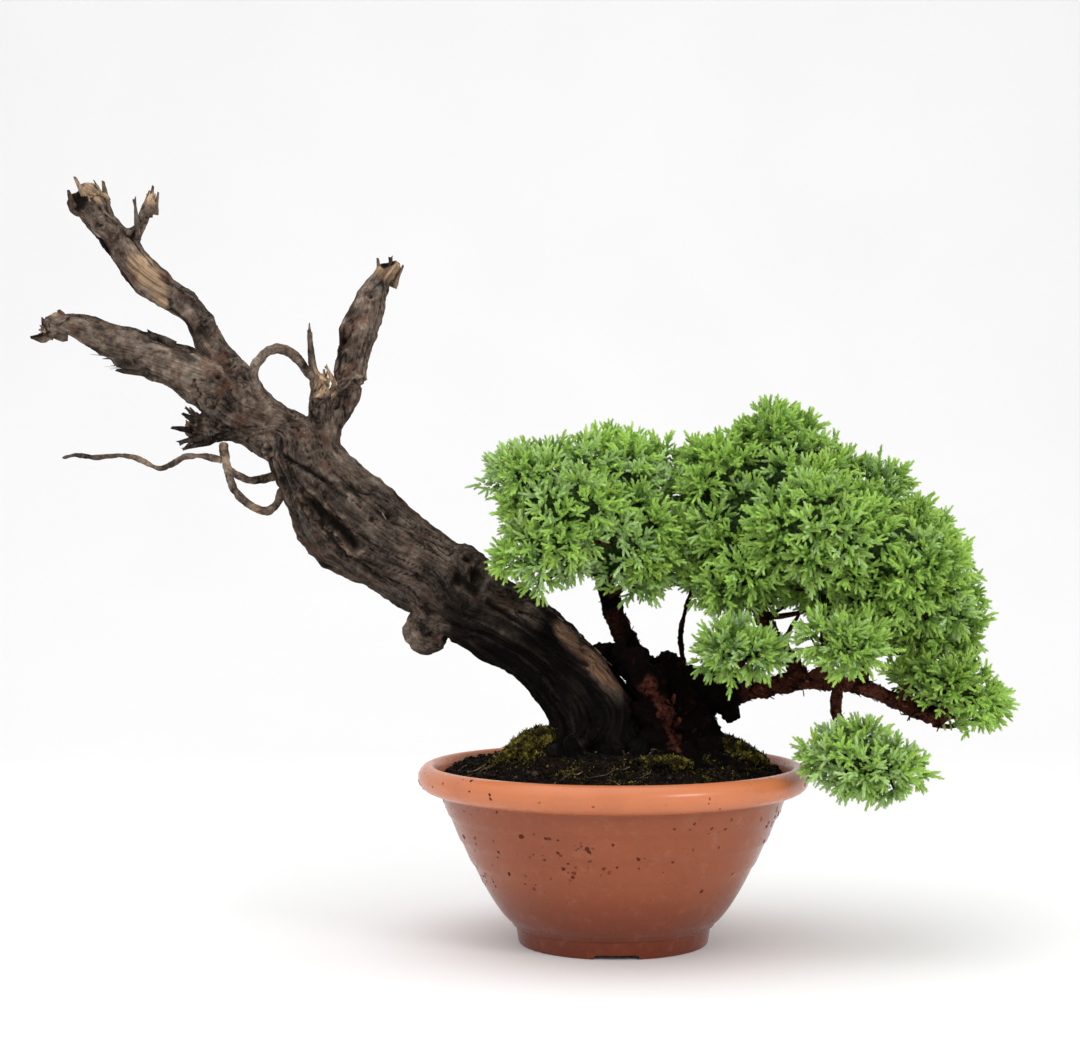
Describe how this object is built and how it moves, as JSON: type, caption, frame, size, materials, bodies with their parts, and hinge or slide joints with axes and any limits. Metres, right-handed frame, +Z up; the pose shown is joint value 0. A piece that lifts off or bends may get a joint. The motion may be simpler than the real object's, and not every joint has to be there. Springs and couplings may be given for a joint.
{
  "type": "potted bonsai tree",
  "caption": "Juniper bonsai with a long leaning dead trunk, a living trunk beside it with pads of scale-leaf foliage, moss and soil in a round terracotta-coloured plastic bowl.",
  "frame": {"origin": "middle of the object's box, on the surface that the pot stands on", "axes": "+X along the object's length, from the dead trunk's tips towards the foliage; +Y to the back, across the pot; +Z up"},
  "size_m": [0.739, 0.3, 0.5895],
  "materials": {
    "pot_plastic": "satin terracotta-coloured moulded plastic, lighter on the lip and darker and browner towards the foot, with scattered specks of soil",
    "potting_soil": "dark, crumbly, damp potting soil with pale rootlets and grit",
    "moss": "short matt yellow-green to brown moss",
    "weathered_deadwood": "weathered grey-brown dead wood with long fissures, nearly black at the base, bleached tan at the broken tips",
    "juniper_bark": "rough flaky red-brown juniper bark over nearly black wood",
    "juniper_foliage": "dense short sprays of small green juniper needles, brighter at the tips and dark inside"
  },
  "bodies": {
    "root": {"pot": "pot_plastic", "soil": "potting_soil", "moss_left": "moss", "moss_right": "moss", "moss_front": "moss", "deadwood_trunk": "weathered_deadwood", "dead_twig_loop": "weathered_deadwood", "dead_twig_hook": "weathered_deadwood", "dead_twig_trailing": "weathered_deadwood", "dead_twig_short": "weathered_deadwood", "live_trunk": "juniper_bark", "stem_left": "juniper_bark", "twig_upright": "juniper_bark", "branch_right": "juniper_bark", "branch_centre": "juniper_bark", "branch_crown": "juniper_bark", "stem_hanging": "juniper_bark", "branchlet_front": "juniper_bark", "branchlet_middle": "juniper_bark", "foliage_left": "juniper_foliage", "foliage_crown": "juniper_foliage", "foliage_front": "juniper_foliage", "foliage_middle": "juniper_foliage", "foliage_right": "juniper_foliage", "foliage_low": "juniper_foliage"}
  },
  "joints": []
}
